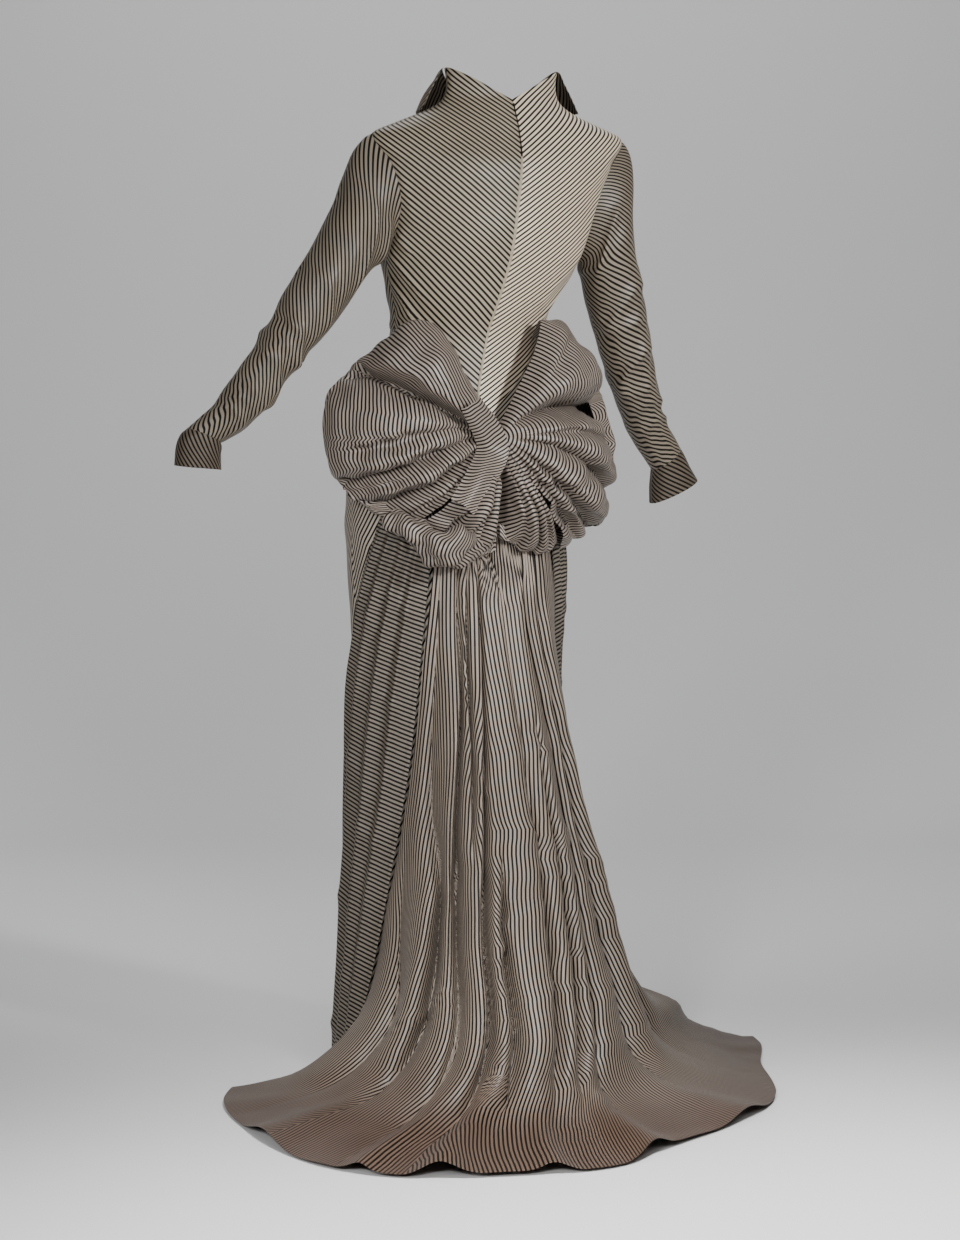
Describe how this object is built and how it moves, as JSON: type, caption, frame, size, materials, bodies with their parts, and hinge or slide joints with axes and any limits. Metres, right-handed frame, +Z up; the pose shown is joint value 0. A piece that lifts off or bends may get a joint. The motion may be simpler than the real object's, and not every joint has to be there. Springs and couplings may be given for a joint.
{
  "type": "evening gown",
  "caption": "Hollow long-sleeved evening gown of striped silk, with stand collar, pointed back bodice, large gathered bow at the hips and a pleated train spread on the floor.",
  "frame": {"origin": "middle of the neck at shoulder height, where the wearer holds the gown up", "axes": "+Z up, -Y the wearer's front, +Y the back where the train spreads, +X the wearer's left"},
  "size_m": [1.0139, 0.8712, 1.5411],
  "materials": {
    "taffeta": "crisp woven silk with narrow light and dark stripes, soft sheen"
  },
  "bodies": {
    "root": {"bodice_back_left": "taffeta", "bodice_back_right": "taffeta", "bodice_front": "taffeta", "collar_left": "taffeta", "collar_right": "taffeta", "sleeve_left": "taffeta", "sleeve_right": "taffeta", "cuff_left": "taffeta", "cuff_right": "taffeta", "skirt_front": "taffeta", "skirt_back": "taffeta", "drape_left": "taffeta", "drape_right": "taffeta", "train": "taffeta", "bow_left": "taffeta", "bow_right": "taffeta", "bow_loop_left": "taffeta", "bow_loop_right": "taffeta"}
  },
  "joints": []
}
